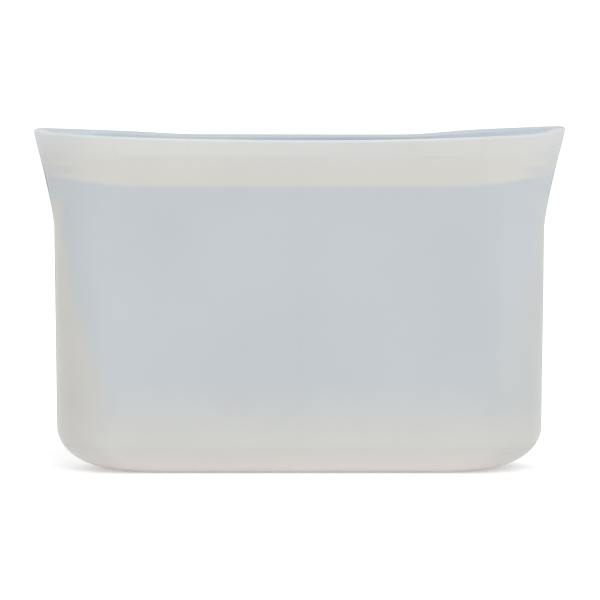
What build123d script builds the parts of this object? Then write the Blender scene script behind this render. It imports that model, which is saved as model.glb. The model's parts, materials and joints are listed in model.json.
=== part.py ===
from build123d import *
import math
import os

# A stand-up zip bag moulded in one piece of platinum-cured silicone. The moulding is
# written as its working regions: a rounded foot, two wall panels that close towards each
# other, four gusset quarters that meet on the parting line at each side, a press-shut zip,
# two pull lips and the flat ears where the zip bands run together.
#
# Millimetres, +Z up. The origin is on the resting plane, under the middle of the foot.
# +X runs to the right ear and -Y is the front. The bag stands as moulded, part open.

# Overall size
EAR_SPAN = 210.0           # over the two ear tips
EAR_HEIGHT = 136.0         # resting plane to the top of an ear
RIM_DIP = 4.8              # how far the rim sags below the ears at the middle
FOOT_DEPTH = 48.0          # front to back of the foot, at the top of its rounding

# Side outline, seen from the front
FOOT_HALF_WIDTH = 95.8     # half width of the body, before the foot rounds in
BODY_SPREAD = 1.6          # how much each side has moved out by the height of the ears
FOOT_RISE = 16.5           # height of the rounded bottom corners
FOOT_RUN = 25.5            # width of the rounded bottom corners
FLARE_START = 96.0         # height where the sides begin to flare into the ears
FLARE_POWER = 1.3          # 1 for a straight flare, more for one that curves outwards

# Front and back outline, seen from the side
HINGE_HEIGHT = 10.0        # living hinge along the top of the foot's rounding
HEEL_RUN = 9.0             # how far the front and back draw in below the hinge
BAND_HEIGHT = 114.0        # lower edge of the thick zip band
LIP_HEIGHT = 124.3         # lower edge of the thin pull lip
CLOSED_ANGLE = 5.6         # turn of each panel from as moulded to zipped shut, degrees

# Thickness
WALL = 1.5
BAND = 2.6
LIP = 2.0
HEEL = 2.2
FLOOR = 2.5
CREST = 0.6                # half width of the parting land along each side
EAR_TAB = 1.5              # half thickness of a flat ear
EAR_DEPTH = 9.0            # how far in from its tip an ear is solid

# Panels and ends, seen from above
PANEL_HALF = 78.0          # half length of a moving panel
END_RUN_FOOT = 20.0        # length of the curved end at the foot
END_RUN_EAR = 27.0         # length of the curved end at the ears
END_RUN_RISE = 30.0        # height over which the first becomes the second
POINTED_START = 80.0       # height where the rounded ends begin to close in a point
POINTED_RISE = 34.0        # height over which they do
CREST_RISE = 16.0          # height over which the parting land widens into an ear
LIVING_GAP = 0.3           # clearance left where the silicone bends

# Press-shut zip, with the panels closed on the plane Y = 0
BAND_GAP = 3.2             # between the inner faces of the two bands
ZIP_HEIGHT = 118.5         # middle of the zip when closed
JAW_REACH = 3.0            # how far a jaw stands off the front band
JAW = 1.5                  # thickness of a jaw
TRACK_HALF = 2.0           # half height of the channel between the jaws
HOOK = 0.35                # how far a jaw's tip hooks over the channel
HOOK_DEPTH = 0.9
RIB_REACH = 2.5            # how far the rib stands off the back band
RIB_STEM_HALF = 0.85
RIB_HEAD_HALF = 1.3
RIB_HEAD_DEPTH = 1.1

ZIP_HALF = PANEL_HALF - 1.0
CURVE_STEPS = 7            # spans of a curve that is drawn through points
HEEL_LEVELS = (0.8, 2.4, 5.0)                           # plans of the heel between its ends
GUSSET_LEVELS = (12, 15, 20, 36, 52, 68, 84, 98, 104, 109)
WEB_LEVELS = (121, 128)

HALF_SPAN = EAR_SPAN / 2
HALF_DEPTH = FOOT_DEPTH / 2
EAR_BODY_HALF = FOOT_HALF_WIDTH + BODY_SPREAD
HINGE_Y = HALF_DEPTH - WALL / 2
CLOSED = math.radians(CLOSED_ANGLE)


def rest_place(y, z):
    """Where a point of the closed back panel is as moulded, turned back on its hinge."""
    out = y - HINGE_Y
    up = z - HINGE_HEIGHT
    return (
        HINGE_Y + out * math.cos(CLOSED) + up * math.sin(CLOSED),
        HINGE_HEIGHT + up * math.cos(CLOSED) - out * math.sin(CLOSED),
    )


def band_half_depth(z):
    """Outer half depth of the bag at height z of the zip band, which leans outwards."""
    foot_y, foot_z = rest_place(BAND_GAP / 2 + BAND, BAND_HEIGHT)
    return foot_y + (z - foot_z) * math.tan(CLOSED)


def ease(share):
    """A smooth step from 0 to 1."""
    share = max(0.0, min(1.0, share))
    return share * share * (3 - 2 * share)


def rounding(z, rise, run):
    """How far a quarter ellipse, rise high and run wide, draws in at height z."""
    if z >= rise:
        return 0.0
    drop = (rise - z) / rise
    return run * (1 - math.sqrt(1 - drop * drop))


def flare(z):
    """How far the side has flared out towards the ear at height z."""
    share = max(0.0, z - FLARE_START) / (EAR_HEIGHT - FLARE_START)
    return (HALF_SPAN - EAR_BODY_HALF) * share**FLARE_POWER


def crest_x(z):
    """Half width of the bag at height z, measured to the parting line."""
    body = FOOT_HALF_WIDTH + BODY_SPREAD * z / EAR_HEIGHT
    return body + flare(z) - rounding(z, FOOT_RISE, FOOT_RUN)


def half_depth(z):
    """Outer half depth of the bag at height z, at the middle of a panel."""
    if z <= HINGE_HEIGHT:
        return HALF_DEPTH - rounding(z, HINGE_HEIGHT, HEEL_RUN)
    if z >= BAND_HEIGHT:
        return band_half_depth(z)
    rise = BAND_HEIGHT - HINGE_HEIGHT
    share = (z - HINGE_HEIGHT) / rise
    drawn_in = (HALF_DEPTH - band_half_depth(BAND_HEIGHT)) * ease(share)
    lean = rise * math.tan(CLOSED) * (share**3 - share**2)
    return HALF_DEPTH - drawn_in + lean


def end_run(z):
    """Length of the curved end of the plan at height z."""
    return END_RUN_FOOT + (END_RUN_EAR - END_RUN_FOOT) * ease((z - FLARE_START) / END_RUN_RISE)


def end_power(z):
    """1 for a round end, as at the foot, and 2 for an end that closes in a point, as at an ear."""
    return 1 + ease((z - POINTED_START) / POINTED_RISE)


def crest_half(z):
    """Half thickness of the moulding on the parting line at height z."""
    return CREST + (EAR_TAB - CREST) * ease((z - FLARE_START) / CREST_RISE)


def spaced(low, high, spans):
    """Evenly spaced values from low to high, both included."""
    return [low + (high - low) * i / spans for i in range(spans + 1)]


def end_curve(z, thickness, solid_tip, from_x, to_x):
    """Points of the plan's curved end at height z, set in from the outside by thickness.

    solid_tip is how far the curve's tip is in from the crest. The points run from from_x
    to to_x, and to the tip where to_x is None.
    """
    tip = crest_x(z) - solid_tip
    start = crest_x(z) - end_run(z)
    run = tip - start
    low = crest_half(z) if solid_tip == 0 else 0.0
    deep = half_depth(z) - thickness
    first = math.asin(max(0.0, (from_x - start) / run))
    last = math.pi / 2 if to_x is None else math.asin((to_x - start) / run)
    points = []
    for turn in spaced(first, last, CURVE_STEPS):
        across = low + (deep - low) * math.cos(turn) ** end_power(z)
        points.append((start + run * math.sin(turn), -across, z))
    return points


def closed_face(*runs):
    """A flat face bounded by runs of points, each a spline, joined by straight lines."""
    edges = []
    for points, following in zip(runs, runs[1:] + runs[:1]):
        if len(points) > 2:
            edges.append(Spline(*points))
        elif len(points) == 2:
            edges.append(Line(*points))
        edges.append(Line(points[-1], following[0]))
    return make_face(Wire(edges))


def gusset_section(z):
    """Plan of the right front gusset quarter at height z, from the panel to the crest."""
    edge = PANEL_HALF + LIVING_GAP
    outside = end_curve(z, 0, 0, edge, None)
    inside = end_curve(z, WALL, WALL + CREST, edge, None)
    crest = [(crest_x(z), 0, z)]
    return closed_face(outside, crest, inside[::-1])


def web_section(z):
    """Plan of the right front web at height z, from the zip band to the solid ear."""
    edge = PANEL_HALF + LIVING_GAP
    root = crest_x(z) - EAR_DEPTH
    outside = end_curve(z, 0, 0, edge, root)
    inside = end_curve(z, BAND, EAR_DEPTH, edge, None)
    return closed_face(outside, inside[::-1])


def ear_section(z):
    """Plan of the right ear at height z, from the webs out to the tip."""
    root = crest_x(z) - EAR_DEPTH
    front = end_curve(z, 0, 0, root, None)
    back = [(x, -y, z) for x, y, z in front]
    return closed_face(front, back[::-1])


def foot_section(z, thickness):
    """Whole plan of the foot at height z, set in from the outside by thickness."""
    deep = half_depth(z) - thickness
    tip = crest_x(z) - thickness
    start = crest_x(z) - END_RUN_FOOT
    half = [
        (start + (tip - start) * math.sin(turn), -deep * math.cos(turn), z)
        for turn in spaced(0, math.pi / 2, CURVE_STEPS)
    ]
    right = half + [(x, -y, z) for x, y, z in half[-2::-1]]
    left = [(-x, y, z) for x, y, z in right[::-1]]
    return closed_face(right, left)


def between(sections, straight=False):
    """The solid that passes through flat sections, lowest first."""
    return loft(sections, ruled=straight)


def panel_strip(low, high, thickness):
    """A strip of the front panel between two heights, drawn from the side and drawn out along X."""
    heights = spaced(low, high, CURVE_STEPS)
    outside = [(0, -half_depth(z), z) for z in heights]
    inside = [(0, thickness - half_depth(z), z) for z in heights]
    profile = closed_face(outside, inside[::-1])
    return extrude(profile, amount=PANEL_HALF, dir=(1, 0, 0), both=True)


def above_rim():
    """Everything above the rim, which dips along one large arc."""
    low = EAR_HEIGHT - RIM_DIP
    rim = ThreePointArc((-HALF_SPAN, 0, EAR_HEIGHT), (0, 0, low), (HALF_SPAN, 0, EAR_HEIGHT))
    lid = Polyline(
        (HALF_SPAN, 0, EAR_HEIGHT),
        (HALF_SPAN, 0, EAR_HEIGHT + FOOT_DEPTH),
        (-HALF_SPAN, 0, EAR_HEIGHT + FOOT_DEPTH),
        (-HALF_SPAN, 0, EAR_HEIGHT),
    )
    face = make_face(Wire([rim, *lid.edges()]))
    return extrude(face, amount=FOOT_DEPTH, dir=(0, 1, 0), both=True)


def zip_strip(points):
    """A strip of the zip, from its closed profile of (y, z) points, put back as moulded."""
    profile = make_face(Polyline(*[(0, y, z) for y, z in points], close=True))
    return extrude(profile, amount=ZIP_HALF, dir=(1, 0, 0), both=True)


def jaw(side):
    """One hooked jaw of the front track: side is 1 for the upper and -1 for the lower."""
    root = -BAND_GAP / 2
    tip = root + JAW_REACH
    profile = [
        (root, ZIP_HEIGHT + side * TRACK_HALF),
        (tip - HOOK_DEPTH, ZIP_HEIGHT + side * TRACK_HALF),
        (tip - HOOK_DEPTH / 2, ZIP_HEIGHT + side * (TRACK_HALF - HOOK)),
        (tip, ZIP_HEIGHT + side * (TRACK_HALF - HOOK)),
        (tip, ZIP_HEIGHT + side * (TRACK_HALF + JAW - HOOK)),
        (root, ZIP_HEIGHT + side * (TRACK_HALF + JAW)),
    ]
    hinge = Axis((0, -HINGE_Y, HINGE_HEIGHT), (1, 0, 0))
    return zip_strip(profile).rotate(hinge, CLOSED_ANGLE)


def rib():
    """The back band's rib, whose rounded head lies in the track when the bag is closed."""
    root = BAND_GAP / 2
    tip = root - RIB_REACH
    neck = tip + RIB_HEAD_DEPTH
    profile = [
        (root, ZIP_HEIGHT - RIB_STEM_HALF),
        (neck, ZIP_HEIGHT - RIB_STEM_HALF),
        (tip + RIB_HEAD_DEPTH / 2, ZIP_HEIGHT - RIB_HEAD_HALF),
        (tip, ZIP_HEIGHT - RIB_STEM_HALF),
        (tip, ZIP_HEIGHT + RIB_STEM_HALF),
        (tip + RIB_HEAD_DEPTH / 2, ZIP_HEIGHT + RIB_HEAD_HALF),
        (neck, ZIP_HEIGHT + RIB_STEM_HALF),
        (root, ZIP_HEIGHT + RIB_STEM_HALF),
    ]
    hinge = Axis((0, HINGE_Y, HINGE_HEIGHT), (1, 0, 0))
    return zip_strip(profile).rotate(hinge, -CLOSED_ANGLE)


def foot():
    """The flat floor, and the rounded heel that carries the walls."""
    top = HINGE_HEIGHT - LIVING_GAP
    outside = between([foot_section(z, 0) for z in (0, *HEEL_LEVELS, top)])
    hollow = between([foot_section(z, HEEL) for z in (FLOOR, HEEL_LEVELS[-1], top)])
    plate = extrude(foot_section(0, HEEL), amount=FLOOR, dir=(0, 0, 1))
    return plate, outside - hollow - plate


def in_four_quarters(name, right_front):
    """The same quarter at all four corners of the bag."""
    left_front = mirror(right_front, about=Plane.YZ)
    return {
        f"right_front_{name}": right_front,
        f"left_front_{name}": left_front,
        f"right_back_{name}": mirror(right_front, about=Plane.XZ),
        f"left_back_{name}": mirror(left_front, about=Plane.XZ),
    }


def build():
    """Every region of the moulding by name."""
    floor, heel = foot()
    lid = above_rim()
    gusset_levels = (HINGE_HEIGHT - LIVING_GAP, *GUSSET_LEVELS, BAND_HEIGHT)
    web_levels = (BAND_HEIGHT, *WEB_LEVELS, EAR_HEIGHT)
    front = {
        "wall": panel_strip(HINGE_HEIGHT, BAND_HEIGHT, WALL),
        "zip_band": panel_strip(BAND_HEIGHT, LIP_HEIGHT - LIVING_GAP, BAND / math.cos(CLOSED)),
        "lip": panel_strip(LIP_HEIGHT, EAR_HEIGHT, LIP) - lid,
    }
    right_ear = between([ear_section(z) for z in web_levels]) - lid
    regions = {
        "base_floor": floor,
        "heel_band": heel,
        "right_ear": right_ear,
        "left_ear": mirror(right_ear, about=Plane.YZ),
        "zip_track_upper_jaw": jaw(1),
        "zip_track_lower_jaw": jaw(-1),
        "zip_rib": rib(),
    }
    gusset = between([gusset_section(z) for z in gusset_levels], straight=True)
    regions.update(in_four_quarters("gusset", gusset))
    regions.update(in_four_quarters("web", between([web_section(z) for z in web_levels]) - lid))
    for name, shape in front.items():
        regions[f"front_{name}"] = shape
        regions[f"back_{name}"] = mirror(shape, about=Plane.XZ)
    return regions


os.makedirs("parts", exist_ok=True)
for region_name, region in build().items():
    export_step(region, f"parts/{region_name}.step")
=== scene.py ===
import json
import math

import bmesh
import bpy
import numpy as np
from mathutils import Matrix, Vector


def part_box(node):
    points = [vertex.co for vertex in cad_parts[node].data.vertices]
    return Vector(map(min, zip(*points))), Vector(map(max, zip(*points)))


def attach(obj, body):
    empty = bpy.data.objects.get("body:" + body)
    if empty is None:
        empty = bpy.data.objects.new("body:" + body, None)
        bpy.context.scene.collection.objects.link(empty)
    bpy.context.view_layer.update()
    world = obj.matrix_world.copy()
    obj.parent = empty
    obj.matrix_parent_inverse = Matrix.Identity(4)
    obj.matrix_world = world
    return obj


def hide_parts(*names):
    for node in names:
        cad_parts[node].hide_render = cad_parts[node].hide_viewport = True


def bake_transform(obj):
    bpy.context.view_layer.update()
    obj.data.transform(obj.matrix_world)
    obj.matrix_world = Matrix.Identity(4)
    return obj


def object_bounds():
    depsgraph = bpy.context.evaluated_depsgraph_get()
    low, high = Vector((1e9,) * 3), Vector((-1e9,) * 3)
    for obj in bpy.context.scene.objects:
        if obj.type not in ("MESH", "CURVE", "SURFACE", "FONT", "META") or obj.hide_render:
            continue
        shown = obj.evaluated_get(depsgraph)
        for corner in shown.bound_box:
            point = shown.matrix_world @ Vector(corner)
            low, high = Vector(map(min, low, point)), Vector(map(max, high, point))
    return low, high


# A stand-up silicone zip bag, looked at as one soft moulding. Every surface is worked out
# from plan and side outlines that follow the frame's, so that pieces meet without a step.
# Metres, +Z up, the front faces -Y. In every function, side is -1 for the front and 1 for
# the back, and hand is -1 for the left, 0 for the middle and 1 for the right.

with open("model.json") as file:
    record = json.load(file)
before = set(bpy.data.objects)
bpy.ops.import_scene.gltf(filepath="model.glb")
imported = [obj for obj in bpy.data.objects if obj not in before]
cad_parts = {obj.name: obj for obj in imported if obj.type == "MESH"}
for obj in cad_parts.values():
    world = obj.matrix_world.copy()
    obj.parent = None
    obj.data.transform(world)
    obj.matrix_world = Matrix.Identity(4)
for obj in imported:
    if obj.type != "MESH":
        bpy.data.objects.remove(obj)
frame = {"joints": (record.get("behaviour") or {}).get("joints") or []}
CAD_LOW, CAD_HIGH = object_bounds()

MM = 0.001

# ---------------------------------------------------------------- places in the frame

JOINTS = {joint["name"]: joint for joint in frame["joints"]}
TILT = JOINTS["front_panel_tilt"]
HINGE_Z = TILT["pos_m"][2]
CLOSED = math.radians(TILT["range_deg"][1])
HALF_SPAN = CAD_HIGH.x
EAR_TOP = CAD_HIGH.z
HALF_DEPTH = CAD_HIGH.y
BAND_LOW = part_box("front_zip_band")[0].z
BAND_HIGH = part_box("front_zip_band")[1].z
LIP_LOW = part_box("front_lip")[0].z
LEAN = math.tan(CLOSED)     # how much the bands lean out, as moulded
BAND_FOOT_DEPTH = -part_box("front_zip_band")[0].y - (BAND_HIGH - BAND_LOW) * LEAN

# ---------------------------------------------------------------- outline of the moulding

FOOT_HALF_WIDTH = 95.8 * MM
BODY_SPREAD = 1.6 * MM      # how much wider each side is at the top than at the foot, before it flares
FOOT_RISE = 16.5 * MM       # the bottom corners' rounding, up and in
FOOT_RUN = 25.5 * MM
FLARE_START = 96 * MM
FLARE_POWER = 1.3
EAR_REACH = HALF_SPAN + 0.8 * MM    # where the flare would end if the ears' corners weren't rounded
HEEL_RUN = 9 * MM           # how far the heel is rounded in, at the front and the back
END_RUN_FOOT = 20 * MM      # length of the plan's curved ends, at the foot and at the ears
END_RUN_EAR = 31 * MM
END_CLIMB = 30 * MM         # height over which one becomes the other
POINTED = 0.65              # how much more than round the plan's ends are pointed at the ears
POINTED_START = 80 * MM
POINTED_CLIMB = 34 * MM

WALL = 1.5 * MM             # thicknesses
BAND = 2.6 * MM
LIP = 2.0 * MM
HEEL = 2.2 * MM
FLOOR = 2.5 * MM
BAND_STEP = 2.4 * MM        # heights over which the thickness changes
LIP_STEP = 3 * MM
BEAD_STEP = 1.6 * MM
CREST = 0.6 * MM            # half width of the nose along each side
EAR_TAB = 1.5 * MM          # half thickness at an ear's tip
EAR_SOLID = 4 * MM          # how far in from its tip an ear is solid
EAR_CLIMB = 16 * MM         # height over which the sides become ears
FOOT_RECESS = 0.45 * MM     # how far the underside is hollowed
# Rings of the underside, each with its share of the foot's width and of the recess.
UNDERSIDE = ((0.97, 0.0), (0.80, 0.0), (0.74, 0.6), (0.68, 1.0), (0.4, 1.0), (0.0, 1.0))
FLOOR_RINGS = (0.0, 0.4, 0.8)   # shares of its width, for the floor's rings inside

FRONT_RIM = 131.35 * MM     # height of each rim at the middle
BACK_RIM = 131.70 * MM
FRONT_SAG = 3.0 * MM        # how far the front rim rises in one long curve
FRONT_LIFT = (97 * MM, 6 * MM)      # where it turns up in each ear: start and run, outwards
LEFT_EAR_LIFT = 0.6 * MM    # and how far
RIGHT_EAR_LIFT = 1.3 * MM
BACK_STEPS = ((40 * MM, 36 * MM), (70 * MM, 34 * MM))   # the back rim rises in two steps
LEFT_BACK_RISE = (1.45 * MM, 2.00 * MM)
RIGHT_BACK_RISE = (2.05 * MM, 2.20 * MM)
TURN_POWER = 1.6            # how late the back rim and the band's edge turn up
RIM_BEAD = 0.5 * MM         # how much the rim is thicker than the lip below it
BEAD_HEIGHT = 3 * MM
RIM_ROUND = 1.1 * MM
RIGHT_EAR_ROUND = 2.1 * MM  # radius of the right ear's top corner
LEFT_EAR_CUT = 1.7 * MM     # the left ear's corner is cut off at a slant instead
LEFT_EAR_DROP = 1.1 * MM
BAND_SAG = 1.0 * MM         # how far the band's lower edge hangs below the frame's
BAND_TURN = (62 * MM, 38 * MM)      # where it turns up: start and run, outwards
LEFT_BAND_TURN = 3.9 * MM   # and how far
RIGHT_BAND_TURN = 4.4 * MM

# ---------------------------------------------------------------- zip and parting line

BAND_GAP = 3.2 * MM         # between the bands' inner faces when closed
ZIP_Z = 118.5 * MM          # height of the zip's middle when closed
ZIP_ROOT = 1.1 * MM         # how deep the strips are rooted in their bands
ZIP_FADE = 6 * MM           # length over which a strip sinks away at its ends
ZIP_STUB = 0.12             # share of its height that is left at the very end
ZIP_ROUND = 0.4 * MM        # radius of the strips' edges
JAW_REACH = 2.7 * MM        # the front band's two hooked jaws
JAW = 1.5 * MM
JAW_FILLET = 0.5 * MM
TRACK_HALF = 2.0 * MM
HOOK = 0.35 * MM
HOOK_DEPTH = 0.9 * MM
RIB_REACH = 2.5 * MM        # the back band's rib
RIB_STEM = 0.85 * MM
RIB_HEAD = 1.3 * MM
RIB_HEAD_DEPTH = 1.1 * MM
RIB_FILLET = 0.4 * MM
HINGE_Y = HALF_DEPTH - WALL / 2
RIDGE = 0.3 * MM            # how proud the parting line is
RIDGE_HALF = 0.42 * MM
RIDGE_PROFILE = ((-0.8, -1.4), (0.0, -1.0), (0.7, -0.6), (1.0, 0.0))    # shares of those, out and across
RIDGE_START = math.radians(30)      # where it starts on the bottom corner's rounding
RIDGE_FADE_IN = 12          # how fast it comes up at its foot and goes down at its top
RIDGE_FADE_OUT = 25
RIDGE_STUB = 0.2            # share of its height that is left at the top
LEFT_DARKEST = 0.9          # painted shade on it: how dark it gets, and where: middle and half height
RIGHT_DARKEST = 0.35
DARKEST_AT = (113 * MM, 12 * MM)

# ---------------------------------------------------------------- softness of the real thing

# Where something comes in softly is given as its start and its run.
BELLY = 1.5 * MM            # how far a wall bows out between foot and band
BELLY_UP = 1.5              # powers of its curves, up and across
BELLY_ACROSS = 0.7
BELLY_FROM_SIDE = (0.0, 8 * MM)
WAVE = 0.38 * MM            # slack in a soft wall
# Each ripple's size, its radians for each metre of x and of z, and its share of the wall's shift.
RIPPLES = ((1.0, 61, 23, 1.0), (0.7, 34, -71, 2.1), (0.5, 118, 47, 3.7))
WAVE_FROM_SIDE = (4 * MM, 9 * MM)
WAVE_FROM_FOOT = (14 * MM, 22 * MM)
WAVE_FROM_BAND = (2 * MM, 18 * MM)
LIP_WAVE = 0.62 * MM        # slack at the rim
SWAYS = ((1.0, 27, 1.3), (0.6, 58, -1.0))   # the same for its waves, which only run along x
MIDDLE_DIP = 0.8            # the mouth's middle sways inwards
MIDDLE_WAVE = 16
BAND_SHARE = 0.14           # how much of that the stiffer zip band has
SWAY_FROM_SIDE = (6 * MM, 8 * MM)
SWAY_BELOW_BAND = 24 * MM
SWAY_IN_LIP = 8 * MM
FRONT_SHIFT = 0.4           # gives each wall its own waves
BACK_SHIFT = 2.9

# ---------------------------------------------------------------- grid of the walls

STRAIGHT_STEPS = 72         # columns along the wall and round each end
END_STEPS = 22
END_CROWDING = 1.35         # how much the end's columns crowd towards its tip
WALL_ROWS = 52
EDGE_ROWS = 6
BAND_ROWS = 14
LIP_ROWS = 5
ROUND_ROWS = 6
EDGE_REACH = 2 * MM         # the edge's rows reach this far above and below it
LIP_END = 1.6 * RIM_ROUND   # the lip's plain rows end this far below the rim
NOMINAL_Z = 130 * MM        # each column stands for the x that it has at this height
LIP_SHARE = 0.60            # share of the lip's half length that makes its middle part
TONGUE = 1.6 * MM           # foot and walls overlap by hidden tongues either side of the hinge
TONGUE_ROWS = (1.0, 0.5)
TUCK = 0.22 * MM            # how far a tongue's tip is tucked in under the other piece
NOSE_CLEAR = 1 * MM         # nearer to the middle plane than this nothing is tucked in
HEEL_RINGS = 14
INNER_HEEL_RINGS = 9
CORNER_STEPS = 5            # points round each corner of a strip's profile
CORNER_SHARE = 0.48         # the most of a side that one corner's rounding takes
ZIP_STATIONS = 41           # along a strip, and at each of its sinking ends
ZIP_END_STATIONS = 8
RIDGE_STATIONS = 60         # up a parting line, and round the bottom corner
RIDGE_CORNER_STATIONS = 14
SHARP = math.radians(40)
WELD = 0.004 * MM
SHORTEST_EDGE = 0.002 * MM
TINY = 1e-6                 # keeps a nose without width from dividing by zero

# ---------------------------------------------------------------- tints, by place

# Where a tint comes in is given as its start and run, where it goes out as its end and run,
# and where it only shows for a stretch as that stretch's middle and half width.
BAND_BLUR = 2 * MM          # height over which the milky band's edge fades, at the middle and in an ear
EAR_BLUR = 5 * MM
BLUR_BELOW = 0.45           # share of it that is below the edge
EAR_TINT = (84 * MM, 18 * MM)
EAR_THINNING = 0.35         # how much less milky the band is in an ear, and towards the rim
RIM_THINNING = 0.1
RIM_TINT = (8 * MM, 10 * MM)
ZIP_END = (93 * MM, 9 * MM)         # the zip's two ribs and the channel between show at its ends
ZIP_RIBS = ((121.8 * MM, 1.5 * MM), (116.4 * MM, 1.8 * MM))
ZIP_CHANNEL = (119.2 * MM, 2.6 * MM)
RIB_MILK = 0.35
CHANNEL_MILK = -0.4
# painted shade on the back rim's top, which faces the light: how much less milky, so darker, it is made,
# and over what depth below the rim
BACK_RIM_PAINTED_SHADE = 0.8
BACK_RIM_TINT = (1.95 * MM, 1.5 * MM)
FOOT_MILK = 0.95
FOOT_TINT = (42 * MM, 36 * MM)

SIDE_TOP = 95 * MM          # the stretch along each side that is milkier and darker, partly as thicker silicone and partly as painted shade, widens from here down
SIDE_DROP = 65 * MM
SIDE_START = 93.5 * MM      # where it starts at its top, and how much nearer in at its foot
SIDE_SPREAD = 17 * MM
SIDE_POWER = 1.3
SIDE_BLUR = 4 * MM          # how softly it starts at its top, and how much more softly at its foot
SIDE_BLUR_SPREAD = 12 * MM
SIDE_FADE = (112 * MM, 10 * MM)
BEHIND = 12 * MM            # it is softer and fainter on the back, from this deep on
BEHIND_BLUR = 1.2
BEHIND_LOSS = 0.45
# the left side is tinted more than the right: partly painted shade, away from the key light
LEFT_SIDE_MILK = 1.0
RIGHT_SIDE_MILK = 0.42
SIDE_SHADE = 0.05           # painted shade: how much darker it is, at its top and more at its foot
SIDE_SHADE_SPREAD = 0.06
RIGHT_SIDE_SHADE = 0.65     # share of that on the right
SHADE_FROM_FLOOR = 30 * MM

EDGE_LIGHT = 0.5            # painted highlight along the front rim's edge, as light running out of it
EDGE_LIGHT_LOSS = 0.35      # how much less of it there is towards an ear
EDGE_DEPTH = 0.9 * MM
TOWARDS_EAR = (45 * MM, 55 * MM)
RIM_LIGHT = 0.2             # and a fainter painted glow on the lip below it
RIM_LIGHT_DEPTH = 14 * MM
BACK_RIM_CLEAR = 2 * MM
# a painted glow in the ears, stronger on the left
EAR_LIGHT = (92 * MM, 12 * MM)
EAR_LIGHT_DEPTH = 16 * MM
LEFT_EAR_LIGHT = 0.25
RIGHT_EAR_LIGHT = 0.05
RIM_BLEND = 1.6 * MM        # below the rim, over which inside and outside blend
# painted light from the floor on the foot's lowest edge: how strong it is, and how high it reaches
PAINTED_BOUNCE_SHARE = 0.65
PAINTED_BOUNCE_HEIGHT = 9 * MM

# ---------------------------------------------------------------- silicone

# Colour of the silicone, by where it is. Linear RGB.
THIN = (0.433, 0.464, 0.484)
MILKY = (0.520, 0.513, 0.485)
INSIDE_PAINTED_LIGHT = (0.650, 0.718, 0.776)      # painted light and shade of the inner faces: brighter and bluer, for the light that comes through the walls and the mouth
LIT = (0.665, 0.696, 0.725)         # painted highlight and glow: the colour that the rim's edge, the lip and the ears are lightened towards
PAINTED_BOUNCE = (0.720, 0.680, 0.660)       # painted light: the floor's bounce on the foot's turned-in edge, which lifts its contact shade
SHADED = (0.150, 0.155, 0.160)      # painted shade: the colour that the parting line's dark stretch and the sides are darkened towards
ROUGHNESS = {"silicone_wall": 0.42, "silicone_band": 0.42, "silicone_zip": 0.38, "silicone_foot": 0.46}
ROUGHNESS_SWING = 0.05
MOTTLE_SWING = 0.02
MOTTLE_SIZE = 45 * MM
MOTTLE_DETAIL = 3
GRAIN_SIZE = 0.5 * MM
GRAIN_DETAIL = 4
NOISE_RANGE = (0.3, 0.7)    # where most of a noise's values are
GRAIN_STRENGTH = 0.12
GRAIN_DEPTH = 0.05 * MM
SILICONE_IOR = 1.41
SUBSURFACE = 0.2
SUBSURFACE_DEPTH = 2 * MM

# ---------------------------------------------------------------- stage, light and camera

FLOOR_FLAT = 6.0            # radius of the floor's flat part
FLOOR_REACH = 9.5
FLOOR_BEND = 0.05           # how fast it sweeps up beyond that
FLOOR_SWEEP_RINGS = 15
FLOOR_SEGMENTS = 96
FLOOR_TONE = (0.75, 0.75, 0.75)
FLOOR_ROUGHNESS = 0.9
FLOOR_GLOW = 0.3            # the floor is a light table, lit a little from below
SURROUND = 0.8
SURROUND_COLOUR = (1, 1, 1, 1)
KEY_FROM = Vector((0.32, -0.68, 0.66))
KEY_STRENGTH = 1.29
FILL_FROM = Vector((-0.60, 0.50, 0.62))
FILL_STRENGTH = 0.5
SOFTNESS = math.radians(55)
ELEVATION = math.radians(5.3)
CAMERA_DISTANCE = 3.0
SPAN_IN_VIEW = 0.88383      # share of the picture's width that the bag takes
SENSOR = 36                 # width of the camera's sensor, in millimetres
AIM = Vector((0.3 * MM, 0, 66.9 * MM))


# ---------------------------------------------------------------- outlines


def ease(share):
    """A smooth step from 0 to 1, on numbers or arrays."""
    share = np.clip(share, 0.0, 1.0)
    return share * share * (3 - 2 * share)


def rising(value, start, run):
    """0 up to the start, then a smooth climb to 1 over the run."""
    return ease((value - start) / run)


def falling(value, end, run):
    """1 at first, then a smooth fall over the run to 0 at the end."""
    return ease((end - value) / run)


def hump(value, middle, half_width):
    """1 at the middle of a range, falling softly to 0 at half_width either side of it."""
    return ease(1 - np.abs(value - middle) / half_width)


def by_hand(x, left, right):
    """One value left of the middle and the other one right of it."""
    return np.where(x < 0, left, right)


def rounding(z, rise, run):
    """How far a quarter ellipse, rise high and run wide, draws in at height z."""
    drop = np.clip((rise - z) / rise, 0.0, 1.0)
    return run * (1 - np.sqrt(1 - drop * drop))


def crest(z):
    """Half width of the bag at height z, to the parting line."""
    share = np.clip(z - FLARE_START, 0.0, None) / (EAR_TOP - FLARE_START)
    flare = (EAR_REACH - FOOT_HALF_WIDTH - BODY_SPREAD) * share**FLARE_POWER
    return FOOT_HALF_WIDTH + BODY_SPREAD * z / EAR_TOP + flare - rounding(z, FOOT_RISE, FOOT_RUN)


def depth(z):
    """Outer half depth of the bag at height z, at the middle of a wall."""
    rise = BAND_LOW - HINGE_Z
    share = np.clip((z - HINGE_Z) / rise, 0.0, 1.0)
    narrowing = (HALF_DEPTH - BAND_FOOT_DEPTH) * ease(share)
    leaning = rise * LEAN * (share**3 - share**2)
    wall = HALF_DEPTH - narrowing + leaning
    heel = HALF_DEPTH - rounding(z, HINGE_Z, HEEL_RUN)
    band = BAND_FOOT_DEPTH + (z - BAND_LOW) * LEAN
    return np.where(z < HINGE_Z, heel, np.where(z > BAND_LOW, band, wall))


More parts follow.
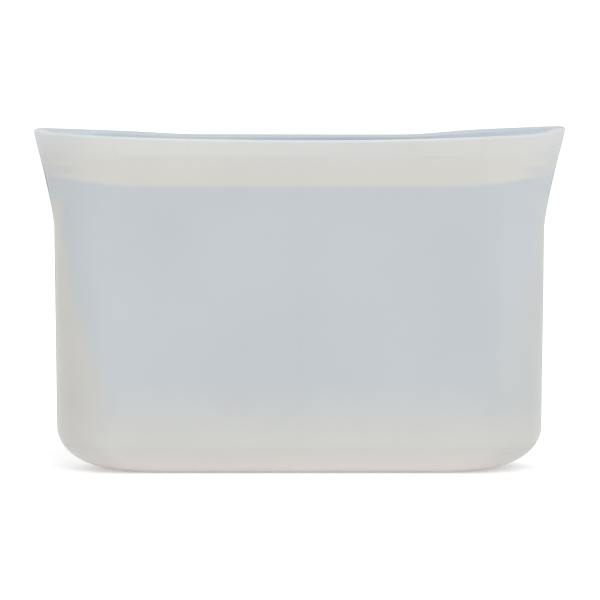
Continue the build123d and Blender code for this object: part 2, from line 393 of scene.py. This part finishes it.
def end_run(z):
    """Length of the plan's curved end at height z."""
    return END_RUN_FOOT + (END_RUN_EAR - END_RUN_FOOT) * rising(z, FLARE_START, END_CLIMB)


def end_power(z):
    """1 for a round end and 2 for one that closes in a point."""
    return 1 + POINTED * rising(z, POINTED_START, POINTED_CLIMB)


def crest_half(z):
    """Half thickness of the nose along the parting line at height z."""
    return CREST + (EAR_TAB - CREST) * rising(z, FLARE_START, EAR_CLIMB)


def tip_inset(z):
    """How far in from the parting line the hollow starts at height z."""
    body_inset = WALL + CREST
    return body_inset + (EAR_SOLID - body_inset) * rising(z, FLARE_START, EAR_CLIMB)


def plan(z, straight, turn, thickness, tip_in):
    """A point of the plan at height z, on the front half, with y counted towards the front.

    straight runs from -1 to 1 along the wall, then turn goes on round the end to a right
    angle at the tip. thickness and tip_in set an inner surface in from the outer one.
    """
    run = end_run(z)
    start = crest(z) - run
    lean_in = np.abs(np.sin(turn))
    nose = np.where(thickness > 0, 0.0, crest_half(z))
    nose_start = 1 - np.maximum(nose, TINY) / run
    nose_share = np.clip((lean_in - nose_start) / (1 - nose_start), 0.0, 1.0)
    deep = depth(z) - thickness
    y = (deep - nose) * np.cos(turn) ** end_power(z) + nose * np.sqrt(1 - nose_share**2)
    x = straight * start + np.sign(turn) * (run - RIDGE - tip_in) * lean_in
    return x, y


def ear_corner(x):
    """How far an ear's top corner drops over x: a slanting cut on the left, a round on the right."""
    on_round = np.clip((x - HALF_SPAN + RIGHT_EAR_ROUND) / RIGHT_EAR_ROUND, 0.0, 1.0)
    on_cut = np.clip((-x - HALF_SPAN + LEFT_EAR_CUT) / LEFT_EAR_CUT, 0.0, 1.0)
    return RIGHT_EAR_ROUND * (1 - np.sqrt(1 - on_round * on_round)) + LEFT_EAR_DROP * on_cut


def turn_up(x, start, run):
    """How far a curve has turned up over x, from 0 at the start to 1 after the run."""
    return np.clip((np.abs(x) - start) / run, 0.0, 1.0) ** TURN_POWER


def rim(x, side):
    """Height of the rim over x. The front one hangs in one curve and the back one in two."""
    out = np.abs(x)
    if side < 0:
        lift = by_hand(x, LEFT_EAR_LIFT, RIGHT_EAR_LIFT) * rising(out, *FRONT_LIFT)
        height = FRONT_RIM + FRONT_SAG * (out / HALF_SPAN) ** 2 + lift
    else:
        first = by_hand(x, LEFT_BACK_RISE[0], RIGHT_BACK_RISE[0]) * rising(out, *BACK_STEPS[0])
        second = by_hand(x, LEFT_BACK_RISE[1], RIGHT_BACK_RISE[1]) * turn_up(x, *BACK_STEPS[1])
        height = BACK_RIM + first + second
    return height - ear_corner(x)


def band_edge(x):
    """Height of the zip band's lower edge over x. It turns up at the ears."""
    return BAND_LOW - BAND_SAG + by_hand(x, LEFT_BAND_TURN, RIGHT_BAND_TURN) * turn_up(x, *BAND_TURN)


def thickness_at(x, z, side):
    """Thickness of the moulding at height z over x."""
    band = rising(z, band_edge(x) - BAND_STEP / 2, BAND_STEP)
    lip = rising(z, LIP_LOW + LIP_STEP / 2, LIP_STEP)
    bead = rising(z, rim(x, side) - BEAD_HEIGHT, BEAD_STEP)
    return WALL + (BAND - WALL) * band - (BAND - LIP) * lip + RIM_BEAD * bead


def slack(x, y, z, shift):
    """How far a soft wall stands out from its plain outline at a point."""
    up = np.clip((z - HINGE_Z) / (BAND_LOW - HINGE_Z), 0.0, 1.0)
    across = np.clip(np.abs(x) / HALF_SPAN, 0.0, 1.0)
    belly = np.sin(math.pi * up) ** BELLY_UP * np.cos(math.pi / 2 * across) ** BELLY_ACROSS
    belly = belly * rising(y, *BELLY_FROM_SIDE)
    wave = sum(size * np.sin(x * a + z * b + shift * c) for size, a, b, c in RIPPLES)
    wave = wave * rising(y, *WAVE_FROM_SIDE) * rising(z, *WAVE_FROM_FOOT)
    wave = wave * rising(BAND_LOW - z, *WAVE_FROM_BAND)
    sway = sum(size * np.sin(x * a + shift * b) for size, a, b in SWAYS)
    sway = sway - MIDDLE_DIP * np.cos(x * MIDDLE_WAVE)
    in_band = BAND_SHARE * rising(z, BAND_LOW - SWAY_BELOW_BAND, SWAY_BELOW_BAND)
    sway = sway * (in_band + rising(z, LIP_LOW, SWAY_IN_LIP)) * rising(y, *SWAY_FROM_SIDE)
    return BELLY * belly + WAVE * wave + LIP_WAVE * sway


# ---------------------------------------------------------------- grids of points


def columns():
    """Where the grid's columns are round the front half: (straight, turn) arrays."""
    from_tip = 1 - np.linspace(0, 1, END_STEPS + 1)[1:]
    turns = math.pi / 2 * (1 - from_tip**END_CROWDING)
    straights = np.linspace(-1, 1, STRAIGHT_STEPS + 1)
    for mark in (-LIP_SHARE, LIP_SHARE):
        straights[np.argmin(np.abs(straights - mark))] = mark
    straight = np.concatenate([-np.ones(END_STEPS), straights, np.ones(END_STEPS)])
    turn = np.concatenate([-turns[::-1], np.zeros(STRAIGHT_STEPS + 1), turns])
    return straight, turn


STRAIGHT, TURN = columns()
NOMINAL_X = plan(np.full(STRAIGHT.shape, NOMINAL_Z), STRAIGHT, TURN, 0.0, 0.0)[0]


def spread(low, high, steps):
    """Heights from low up to high, one row for each, where low and high are arrays over x."""
    shares = np.linspace(0, 1, steps + 1)[1:, None]
    return low[None, :] + (high - low)[None, :] * shares


def shell_rows(side):
    """Heights of the shell's rows over each column, from under the heel's top to the rim."""
    flat = np.ones(NOMINAL_X.shape)
    edge = band_edge(NOMINAL_X)
    top = rim(NOMINAL_X, side)
    tongue = (HINGE_Z - TONGUE * np.array([*TONGUE_ROWS, 0.0]))[:, None] * flat
    rounded = top - RIM_ROUND * np.cos(np.linspace(0, math.pi / 2, ROUND_ROWS))[:, None]
    parts = [
        tongue,
        spread(HINGE_Z * flat, edge - EDGE_REACH, WALL_ROWS),
        spread(edge - EDGE_REACH, edge + EDGE_REACH, EDGE_ROWS),
        spread(edge + EDGE_REACH, LIP_LOW * flat, BAND_ROWS),
        spread(LIP_LOW * flat, top - LIP_END, LIP_ROWS),
        rounded,
    ]
    return np.concatenate(parts)


ROWS = {side: shell_rows(side) for side in (-1, 1)}
CELLS = (ROWS[1].shape[0] - 1, ROWS[1].shape[1] - 1)
MIDDLE_COLUMN = CELLS[1] // 2
FIRST_LIP_COLUMN = END_STEPS
LAST_LIP_COLUMN = END_STEPS + STRAIGHT_STEPS
FOLD_START = int(np.argmin(np.abs(STRAIGHT + LIP_SHARE)))
FOLD_END = int(np.argmin(np.abs(STRAIGHT - LIP_SHARE)))
LIP_ROW = int(np.argmin(np.abs(ROWS[1][:, MIDDLE_COLUMN] - LIP_LOW)))


def shell_surfaces(side, shift):
    """Outer and inner grids of points of a wall."""
    z = ROWS[side]
    straight = np.broadcast_to(STRAIGHT, z.shape)
    turn = np.broadcast_to(TURN, z.shape)
    thick = thickness_at(np.broadcast_to(NOMINAL_X, z.shape), z, side)
    out_x, out_y = plan(z, straight, turn, 0.0, 0.0)
    in_x, in_y = plan(z, straight, turn, thick, tip_inset(z))
    proud = slack(out_x, out_y, z, shift)
    tuck = TUCK * (HINGE_Z - z).clip(0.0) / TONGUE
    out_y = out_y + proud - tuck * (out_y > NOSE_CLEAR)
    in_y = in_y + (proud + tuck) * (in_y > NOSE_CLEAR)
    drop = np.clip((rim(NOMINAL_X, side) - z) / RIM_ROUND, 0.0, 1.0)
    open_share = np.sqrt(1 - (1 - drop) ** 2)
    mid_x, mid_y = (out_x + in_x) / 2, (out_y + in_y) / 2
    surfaces = []
    for x, y in ((out_x, out_y), (in_x, in_y)):
        rounded_x = mid_x + (x - mid_x) * open_share
        rounded_y = mid_y + (y - mid_y) * open_share
        surfaces.append(np.stack([rounded_x, side * rounded_y, z], -1))
    return surfaces


def cell_mask(first_row, first_column, last_column):
    """A mask of the grid cells from a row up, between two columns."""
    cells = np.zeros(CELLS, bool)
    cells[first_row:, first_column:last_column] = True
    return cells


# ---------------------------------------------------------------- tints


def below_rim(points):
    """How far each point is below the rim of its own wall."""
    x, y, z = points.T
    return np.where(y < 0, rim(x, -1), rim(x, 1)) - z


def down_side(z):
    """0 at the top of the thicker stretch along each side and 1 where it is widest."""
    return np.clip((SIDE_TOP - z) / SIDE_DROP, 0.0, 1.0)


def side_share(points):
    """How far each point is in the stretch along each side that is tinted milkier and darker, partly for
    thicker silicone and partly as painted shade; it widens downwards.
    """
    x, y, z = points.T
    down = down_side(z)
    behind = ease(y / BEHIND)
    start = SIDE_START - SIDE_SPREAD * down**SIDE_POWER
    blur = (SIDE_BLUR + SIDE_BLUR_SPREAD * down) * (1 + BEHIND_BLUR * behind)
    share = rising(np.abs(x), start - blur / 2, blur) * falling(z, *SIDE_FADE)
    return share * (1 - BEHIND_LOSS * behind)


def side_shade(points):
    """Painted shade: how much darker the silicone is made along each side, more on the left."""
    x, z = points[:, 0], points[:, 2]
    strength = (SIDE_SHADE + SIDE_SHADE_SPREAD * down_side(z)) * by_hand(x, 1.0, RIGHT_SIDE_SHADE)
    return strength * side_share(points) * rising(z, 0.0, SHADE_FROM_FLOOR)


def band_milk(points):
    """How milky the zip band is, with the zip's ribs and channel showing through at its ends, and less
    milky at the back rim's top as painted shade.
    """
    x, y, z = points.T
    out = np.abs(x)
    ear = rising(out, *EAR_TINT)
    blur = BAND_BLUR + (EAR_BLUR - BAND_BLUR) * ear
    in_band = rising(z, band_edge(x) - BLUR_BELOW * blur, blur)
    towards_rim = rising(z - BAND_LOW, *RIM_TINT)
    ribs = sum(hump(z, *rib) for rib in ZIP_RIBS)
    zip_marks = hump(out, *ZIP_END) * (RIB_MILK * ribs + CHANNEL_MILK * hump(z, *ZIP_CHANNEL))
    milk = in_band * ((1 - RIM_THINNING * towards_rim) * (1 - EAR_THINNING * ear) + zip_marks)
    # painted shade: the back rim's top is made less milky, so darker
    back_rim_painted_shade = BACK_RIM_PAINTED_SHADE * falling(below_rim(points), *BACK_RIM_TINT)
    return milk * np.where(y < 0, 1.0, 1 - back_rim_painted_shade)


def milkiness(points):
    """How milky the silicone looks at each point: 1 where it is thick, 0 where it is thin. Along the
    sides it is partly painted shade, and at the back rim's top it is lessened as painted shade.
    """
    x, z = points[:, 0], points[:, 2]
    foot = FOOT_MILK * falling(z, *FOOT_TINT)
    # along the sides: partly thicker silicone, partly painted shade, more on the left
    side = side_share(points) * by_hand(x, LEFT_SIDE_MILK, RIGHT_SIDE_MILK)
    return np.clip(np.maximum(band_milk(points), np.maximum(foot, side)), 0.0, 1.0)


def lightness(points, inside):
    """Painted light, as if light ran out of the silicone: most at the rim, some in the ears, none
    inside.
    """
    x, y = points[:, 0], points[:, 1]
    out = np.abs(x)
    drop = below_rim(points)
    edge_share = np.where(y < 0, EDGE_LIGHT - EDGE_LIGHT_LOSS * rising(out, *TOWARDS_EAR), 0.0)
    edge_glow = edge_share * falling(drop, EDGE_DEPTH, EDGE_DEPTH)
    rim_share = RIM_LIGHT * np.where(y < 0, 1.0, rising(drop, 0.0, BACK_RIM_CLEAR))
    rim_glow = rim_share * falling(drop, RIM_LIGHT_DEPTH, RIM_LIGHT_DEPTH)
    ear_share = rising(out, *EAR_LIGHT) * by_hand(x, LEFT_EAR_LIGHT, RIGHT_EAR_LIGHT)
    ear_glow = ear_share * falling(drop, EAR_LIGHT_DEPTH, EAR_LIGHT_DEPTH)
    return (edge_glow + rim_glow + ear_glow) * (1 - inside)


def store_tints(mesh, points, inside, dark):
    """Stores the numbers for each point of the mesh that its material reads."""
    inside = np.broadcast_to(inside, len(points)) * rising(below_rim(points), 0.0, RIM_BLEND)
    tints = {
        "milk": milkiness(points),
        "light": lightness(points, inside),
        "inside": inside,
        # painted light: the floor's bounce on the foot's lowest edge
        "painted_bounce": PAINTED_BOUNCE_SHARE * falling(points[:, 2], PAINTED_BOUNCE_HEIGHT, PAINTED_BOUNCE_HEIGHT),
        "shade": np.maximum(side_shade(points), dark),
    }
    for name, values in tints.items():
        attribute = mesh.attributes.new(name, "FLOAT", "POINT")
        attribute.data.foreach_set("value", np.asarray(values, np.float32))


# ---------------------------------------------------------------- meshes


def link(name, data):
    """A new object in the scene."""
    made = bpy.data.objects.new(name, data)
    bpy.context.scene.collection.objects.link(made)
    return made


def finish_mesh(name, points, faces, inside, dark=0.0):
    """An object from points and faces, welded, smooth, with its normals out and its tints stored."""
    mesh = bpy.data.meshes.new(name)
    mesh.from_pydata([tuple(point) for point in points], [], faces)
    store_tints(mesh, np.asarray(points), inside, dark)
    welded = bmesh.new()
    welded.from_mesh(mesh)
    bmesh.ops.remove_doubles(welded, verts=welded.verts, dist=WELD)
    bmesh.ops.dissolve_degenerate(welded, edges=welded.edges, dist=SHORTEST_EDGE)
    bmesh.ops.recalc_face_normals(welded, faces=welded.faces)
    welded.to_mesh(mesh)
    welded.free()
    mesh.shade_smooth()
    mesh.set_sharp_from_angle(angle=SHARP)
    return link(name, mesh)


def skin(ring_count, count):
    """Faces between neighbouring rings of count points each."""
    faces = []
    for start in range(0, (ring_count - 1) * count, count):
        for i in range(count):
            j = (i + 1) % count
            faces.append([start + i, start + j, start + count + j, start + count + i])
    return faces


def tube_faces(ring_count, count):
    """Faces of a tube of rings of count points each, closed with a face at either end."""
    last = (ring_count - 1) * count
    return [list(range(count))[::-1], *skin(ring_count, count), [last + i for i in range(count)]]


def sheet_solid(name, outer, inner, wanted):
    """A closed solid between two grids of points, over the grid's wanted cells only."""
    row_count, column_count = outer.shape[:2]
    points = np.concatenate([outer.reshape(-1, 3), inner.reshape(-1, 3)])
    below = row_count * column_count
    faces = []
    borders = {}
    for row, column in np.argwhere(wanted).tolist():
        first = row * column_count + column
        loop = [first, first + 1, first + column_count + 1, first + column_count]
        faces.append(loop)
        faces.append([below + v for v in reversed(loop)])
        for start, end in zip(loop, loop[1:] + loop[:1]):
            if (end, start) in borders:
                del borders[(end, start)]
            else:
                borders[(start, end)] = True
    for start, end in borders:
        faces.append([end, start, below + start, below + end])
    used = sorted({v for face in faces for v in face})
    place = {v: i for i, v in enumerate(used)}
    faces = [[place[v] for v in face] for face in faces]
    inside = [1.0 if v >= below else 0.0 for v in used]
    return finish_mesh(name, points[used], faces, inside)


# ---------------------------------------------------------------- materials


def attribute(tree, name):
    """The socket of a number stored on the mesh."""
    node = tree.nodes.new("ShaderNodeAttribute")
    node.attribute_name = name
    return node.outputs["Fac"]


def mixed(tree, factor, first, second):
    """A colour from first to second, each a colour or a socket, led by a factor socket."""
    mix = tree.nodes.new("ShaderNodeMix")
    mix.data_type = "RGBA"
    tree.links.new(factor, mix.inputs["Factor"])
    for socket, value in ((mix.inputs["A"], first), (mix.inputs["B"], second)):
        if isinstance(value, tuple):
            socket.default_value = (*value, 1)
        else:
            tree.links.new(value, socket)
    return mix.outputs["Result"]


def noise(tree, size, detail):
    """Noise with features about size across, from 0 to 1."""
    place = tree.nodes.new("ShaderNodeTexCoord")
    node = tree.nodes.new("ShaderNodeTexNoise")
    node.inputs["Scale"].default_value = 1 / size
    node.inputs["Detail"].default_value = detail
    tree.links.new(place.outputs["Object"], node.inputs["Vector"])
    return node.outputs["Fac"]


def around(tree, source, middle, swing):
    """A noise socket brought into the range of swing either side of the middle."""
    node = tree.nodes.new("ShaderNodeMapRange")
    node.inputs["From Min"].default_value, node.inputs["From Max"].default_value = NOISE_RANGE
    node.inputs["To Min"].default_value = middle - swing
    node.inputs["To Max"].default_value = middle + swing
    tree.links.new(source, node.inputs["Value"])
    return node.outputs["Result"]


def scaled(tree, colour, factor):
    """A colour socket multiplied by a number socket."""
    node = tree.nodes.new("ShaderNodeVectorMath")
    node.operation = "SCALE"
    tree.links.new(colour, node.inputs[0])
    tree.links.new(factor, node.inputs["Scale"])
    return node.outputs["Vector"]


def silicone(name, roughness):
    """Satin silicone, milkier where it is thick, faintly mottled, with a fine grain, and with painted
    light and shade mixed into its colour.
    """
    material = bpy.data.materials.new(name)
    material.use_nodes = True
    tree = material.node_tree
    shader = tree.nodes["Principled BSDF"]
    mottle = noise(tree, MOTTLE_SIZE, MOTTLE_DETAIL)
    grain = noise(tree, GRAIN_SIZE, GRAIN_DETAIL)
    colour = THIN
    # the inner faces' colour, the rim's highlight, the floor's bounce on the foot and the darker sides
    # and parting line are painted light and shade
    tints = (("milk", MILKY), ("inside", INSIDE_PAINTED_LIGHT), ("light", LIT), ("painted_bounce", PAINTED_BOUNCE), ("shade", SHADED))
    for tint, tinted in tints:
        colour = mixed(tree, attribute(tree, tint), colour, tinted)
    colour = scaled(tree, colour, around(tree, mottle, 1.0, MOTTLE_SWING))
    tree.links.new(colour, shader.inputs["Base Color"])
    tree.links.new(around(tree, grain, roughness, ROUGHNESS_SWING), shader.inputs["Roughness"])
    bump = tree.nodes.new("ShaderNodeBump")
    bump.inputs["Strength"].default_value = GRAIN_STRENGTH
    bump.inputs["Distance"].default_value = GRAIN_DEPTH
    tree.links.new(grain, bump.inputs["Height"])
    tree.links.new(bump.outputs["Normal"], shader.inputs["Normal"])
    shader.inputs["IOR"].default_value = SILICONE_IOR
    shader.inputs["Subsurface Weight"].default_value = SUBSURFACE
    shader.inputs["Subsurface Radius"].default_value = (1.0, 1.0, 1.0)
    shader.inputs["Subsurface Scale"].default_value = SUBSURFACE_DEPTH
    return material


SILICONE = {name: silicone(name, roughness) for name, roughness in ROUGHNESS.items()}


def dress(piece, slot):
    """Gives a piece its material."""
    piece.data.materials.append(SILICONE[slot])


# ---------------------------------------------------------------- walls


def bend_with_panel(piece):
    """Bakes the piece's placement into its mesh."""
    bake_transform(piece)


def bend_with_lip(piece):
    """Bakes the piece's placement into its mesh."""
    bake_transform(piece)


def build_wall(word, side, shift):
    """One half of the moulding: wall, gusset quarters, zip band, webs and the lip in three parts."""
    outer, inner = shell_surfaces(side, shift)
    lip = cell_mask(LIP_ROW, FIRST_LIP_COLUMN, LAST_LIP_COLUMN)
    halves = (("left", -1, 0, MIDDLE_COLUMN), ("right", 1, MIDDLE_COLUMN, None))
    for hand_word, hand, first, last in halves:
        wanted = cell_mask(0, first, last) & ~lip
        half = sheet_solid(f"{word}_shell_{hand_word}", outer, inner, wanted)
        dress(half, "silicone_wall")
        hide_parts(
            f"{word}_wall", f"{word}_zip_band", f"{hand_word}_{word}_gusset",
            f"{hand_word}_{word}_web", f"{hand_word}_ear",
        )
        bend_with_panel(half)
    lip_parts = (
        ("left", -1, FIRST_LIP_COLUMN, FOLD_START, FOLD_START),
        ("middle", 0, FOLD_START, FOLD_END, FOLD_END),
        ("right", 1, FOLD_END, LAST_LIP_COLUMN, FOLD_END),
    )
    for part_word, hand, first, last, fold in lip_parts:
        part = sheet_solid(f"{word}_lip_{part_word}", outer, inner, cell_mask(LIP_ROW, first, last))
        dress(part, "silicone_band")
        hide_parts(f"{word}_lip")
        bend_with_lip(part)


# ---------------------------------------------------------------- foot


def ring_points(z, inset, shrink):
    """A closed ring of points round the foot at height z, set in, and shrunk towards its spine."""
    run = end_run(z)
    deep = (depth(z) - inset) * shrink
    nose_half = CREST * shrink if inset == 0 else 0.0
    lean_in = np.abs(np.sin(TURN))
    nose_start = 1 - CREST / run
    nose = np.sqrt(1 - np.clip((lean_in - nose_start) / (1 - nose_start), 0.0, 1.0) ** 2)
    x = STRAIGHT * (crest(z) - run) + np.sign(TURN) * (run - inset) * shrink * lean_in
    y = (deep - nose_half) * np.cos(TURN) + nose_half * nose
    front = np.stack([x, -y, np.full(x.shape, z)], -1)
    back = front[-2:0:-1] * (1, -1, 1)
    return np.concatenate([front, back])


def raised(ring, z):
    """The same ring at another height."""
    moved = ring.copy()
    moved[:, 2] = z
    return moved


def build_foot():
    """The rounded heel and the flat floor, as one bowl that carries the walls."""
    heel_levels = HINGE_Z * (1 - np.cos(np.linspace(math.pi / 2, 0, HEEL_RINGS)))
    inner_turns = np.linspace(0, math.pi / 2, INNER_HEEL_RINGS)
    inner_levels = FLOOR + (HINGE_Z - FLOOR) * (1 - np.cos(inner_turns))
    outer = [raised(ring_points(HINGE_Z, TUCK * up, 1.0), HINGE_Z + TONGUE * up) for up in TONGUE_ROWS]
    outer += [ring_points(z, 0.0, 1.0) for z in heel_levels]
    outer += [raised(ring_points(0.0, 0.0, share), FOOT_RECESS * lift) for share, lift in UNDERSIDE]
    inner = [ring_points(FLOOR, HEEL, share) for share in FLOOR_RINGS]
    for z in inner_levels:
        thick = WALL + (HEEL - WALL) * falling(z, HINGE_Z, HINGE_Z - FLOOR)
        inner.append(ring_points(z, thick, 1.0))
    for up in TONGUE_ROWS[::-1]:
        inner.append(raised(ring_points(HINGE_Z, WALL - TUCK * up, 1.0), HINGE_Z + TONGUE * up))
    count = len(outer[0])
    outer_end = len(outer) * count
    points = np.concatenate([*outer, *inner, outer[0]])
    faces = skin(len(outer), count)
    faces += [[outer_end + v for v in face] for face in skin(len(inner) + 1, count)]
    marks = [0.0] * outer_end + [1.0] * (len(inner) * count) + [0.0] * count
    foot = finish_mesh("foot", points, faces, marks)
    dress(foot, "silicone_foot")
    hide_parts("heel_band", "base_floor")
    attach(foot, "root")


# ---------------------------------------------------------------- zip


def rounded_profile(corners, radius):
    """A closed profile of (y, z) points with its corners rounded off."""
    points = []
    for i, corner in enumerate(corners):
        here = Vector(corner)
        back = Vector(corners[i - 1]) - here
        ahead = Vector(corners[(i + 1) % len(corners)]) - here
        reach = min(radius, back.length * CORNER_SHARE, ahead.length * CORNER_SHARE)
        start = here + back.normalized() * reach
        end = here + ahead.normalized() * reach
        for share in np.linspace(0, 1, CORNER_STEPS):
            points.append(start * (1 - share) ** 2 + here * 2 * share * (1 - share) + end * share**2)
    return points


def lean_back(y, z, side):
    """Where a (y, z) place on a closed panel is as moulded."""
    turned = side * CLOSED
    out = y - side * HINGE_Y
    up = z - HINGE_Z
    return (
        side * HINGE_Y + out * math.cos(turned) + up * math.sin(turned),
        HINGE_Z + up * math.cos(turned) - out * math.sin(turned),
    )


def zip_strip(name, profile, side, body):
    """A strip of the zip, run along X, that sinks into its band at both ends."""
    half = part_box(name)[1].x
    root = side * (BAND_GAP / 2 + ZIP_ROOT)
    fade = half - ZIP_FADE * (1 - np.sin(np.linspace(0, math.pi / 2, ZIP_END_STATIONS)))
    between = np.linspace(ZIP_FADE - half, half - ZIP_FADE, ZIP_STATIONS)[1:-1]
    stations = np.concatenate([-fade[::-1], between, fade])
    points = []
    for x in stations:
        over = max(0.0, (abs(x) - half + ZIP_FADE) / ZIP_FADE)
        stand = max(ZIP_STUB, math.sqrt(1 - over * over))
        for y, z in profile:
            out_y, out_z = lean_back(root + (y - root) * stand, z, side)
            points.append((x, out_y, out_z))
    faces = tube_faces(len(stations), len(profile))
    strip = finish_mesh(f"{name}_moulded", points, faces, 1.0)
    dress(strip, "silicone_zip")
    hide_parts(name)
    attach(strip, body)


def build_track():
    """The two hooked jaws inside the front band."""
    root = -BAND_GAP / 2 - ZIP_ROOT
    tip = JAW_REACH - BAND_GAP / 2
    for word, up in (("upper", 1), ("lower", -1)):
        corners = [
            (root, ZIP_Z + up * TRACK_HALF),
            (tip - HOOK_DEPTH, ZIP_Z + up * TRACK_HALF),
            (tip - HOOK_DEPTH / 2, ZIP_Z + up * (TRACK_HALF - HOOK)),
            (tip, ZIP_Z + up * (TRACK_HALF - HOOK)),
            (tip, ZIP_Z + up * (TRACK_HALF + JAW - HOOK)),
            (root + ZIP_ROOT, ZIP_Z + up * (TRACK_HALF + JAW)),
            (root, ZIP_Z + up * (TRACK_HALF + JAW + JAW_FILLET)),
        ]
        profile = rounded_profile(corners, ZIP_ROUND)
        zip_strip(f"zip_track_{word}_jaw", profile, -1, "front_panel")


def build_rib():
    """The rounded rib inside the back band, which presses in between the jaws."""
    root = BAND_GAP / 2 + ZIP_ROOT
    tip = BAND_GAP / 2 - RIB_REACH
    lower = [
        (root, ZIP_Z - RIB_STEM - RIB_FILLET),
        (root - ZIP_ROOT, ZIP_Z - RIB_STEM),
        (tip + RIB_HEAD_DEPTH, ZIP_Z - RIB_STEM),
        (tip + RIB_HEAD_DEPTH / 2, ZIP_Z - RIB_HEAD),
        (tip, ZIP_Z - RIB_STEM),
    ]
    upper = [(y, 2 * ZIP_Z - z) for y, z in lower[::-1]]
    zip_strip("zip_rib", rounded_profile(lower + upper, ZIP_ROUND), 1, "back_panel")


# ---------------------------------------------------------------- parting line


def build_parting_line(word, hand, darkest):
    """The fine ridge where the mould's halves met, up one side from the foot to the ear's tip."""
    corner = FOOT_RISE * (1 - np.cos(np.linspace(RIDGE_START, math.pi / 2, RIDGE_CORNER_STATIONS)))
    above = np.linspace(FOOT_RISE, EAR_TOP - RIGHT_EAR_ROUND, RIDGE_STATIONS)[1:]
    levels = np.concatenate([corner, above])
    path = np.stack([crest(levels) - RIDGE, levels], -1)
    along = np.gradient(path, axis=0)
    along /= np.linalg.norm(along, axis=1)[:, None]
    outward = np.stack([along[:, 1], -along[:, 0]], -1)
    profile = [*RIDGE_PROFILE, *((out, -across) for out, across in RIDGE_PROFILE[-2::-1])]
    points = []
    for share, place, normal in zip(np.linspace(0, 1, len(path)), path, outward):
        fade = min(1.0, RIDGE_FADE_IN * share, RIDGE_FADE_OUT * (1 - share) + RIDGE_STUB)
        for out, across in profile:
            x, z = place + normal * RIDGE * (out * fade if out > 0 else out)
            points.append((hand * x, across * RIDGE_HALF, z))
    heights = np.array(points)[:, 2]
    faces = tube_faces(len(path), len(profile))
    # painted shade: a dark stretch part way up the ridge, stronger on the left
    ridge = finish_mesh(f"{word}_parting_line", points, faces, 0.0, darkest * hump(heights, *DARKEST_AT))
    dress(ridge, "silicone_wall")
    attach(ridge, "root")


# ---------------------------------------------------------------- stage, light and camera


def sweep():
    """A round floor that turns up gently at its far edge, like a paper sweep."""
    radii = np.linspace(FLOOR_FLAT, FLOOR_REACH, FLOOR_SWEEP_RINGS)
    turns = np.linspace(0, 2 * math.pi, FLOOR_SEGMENTS, endpoint=False)
    points = []
    for radius in radii:
        height = FLOOR_BEND * (radius - FLOOR_FLAT) ** 2
        points += [(radius * math.cos(turn), radius * math.sin(turn), height) for turn in turns]
    ring_faces = [face[::-1] for face in skin(len(radii), len(turns))]
    mesh = bpy.data.meshes.new("floor")
    mesh.from_pydata(points, [], [list(range(len(turns))), *ring_faces])
    mesh.shade_smooth()
    return link("floor", mesh)


def lay_floor():
    """A plain pale floor, lit like a light table."""
    floor = sweep()
    material = bpy.data.materials.new("floor")
    material.use_nodes = True
    shader = material.node_tree.nodes["Principled BSDF"]
    shader.inputs["Base Color"].default_value = (*FLOOR_TONE, 1)
    shader.inputs["Roughness"].default_value = FLOOR_ROUGHNESS
    shader.inputs["Emission Color"].default_value = (1, 1, 1, 1)
    shader.inputs["Emission Strength"].default_value = FLOOR_GLOW
    floor.data.materials.append(material)


def light_scene():
    """A white surround, a soft key light from the front and a soft fill from behind."""
    world = bpy.data.worlds.new("surround")
    world.use_nodes = True
    background = world.node_tree.nodes["Background"]
    background.inputs["Color"].default_value = SURROUND_COLOUR
    background.inputs["Strength"].default_value = SURROUND
    bpy.context.scene.world = world
    for name, source, strength in (("key", KEY_FROM, KEY_STRENGTH), ("fill", FILL_FROM, FILL_STRENGTH)):
        lamp = bpy.data.lights.new(name, "SUN")
        lamp.energy = strength
        lamp.angle = SOFTNESS
        light = link(name, lamp)
        light.location = source
        light.rotation_mode = "QUATERNION"
        light.rotation_quaternion = source.to_track_quat("Z", "Y")


def place_camera():
    """The photograph's view: level with the bag, a little above its rim, through a long lens."""
    data = bpy.data.cameras.new("camera")
    data.sensor_width = SENSOR
    view_width = 2 * HALF_SPAN / SPAN_IN_VIEW
    data.lens = SENSOR * CAMERA_DISTANCE / view_width
    eye = link("camera", data)
    back = Vector((0, -math.cos(ELEVATION), math.sin(ELEVATION)))
    eye.location = AIM + back * CAMERA_DISTANCE
    eye.rotation_mode = "QUATERNION"
    eye.rotation_quaternion = (-back).to_track_quat("-Z", "Y")
    bpy.context.scene.camera = eye


build_foot()
build_track()
build_rib()
build_parting_line("left", -1, LEFT_DARKEST)
build_parting_line("right", 1, RIGHT_DARKEST)
build_wall("front", -1, FRONT_SHIFT)
build_wall("back", 1, BACK_SHIFT)
lay_floor()
light_scene()
place_camera()
bpy.context.scene.view_settings.view_transform = "Standard"
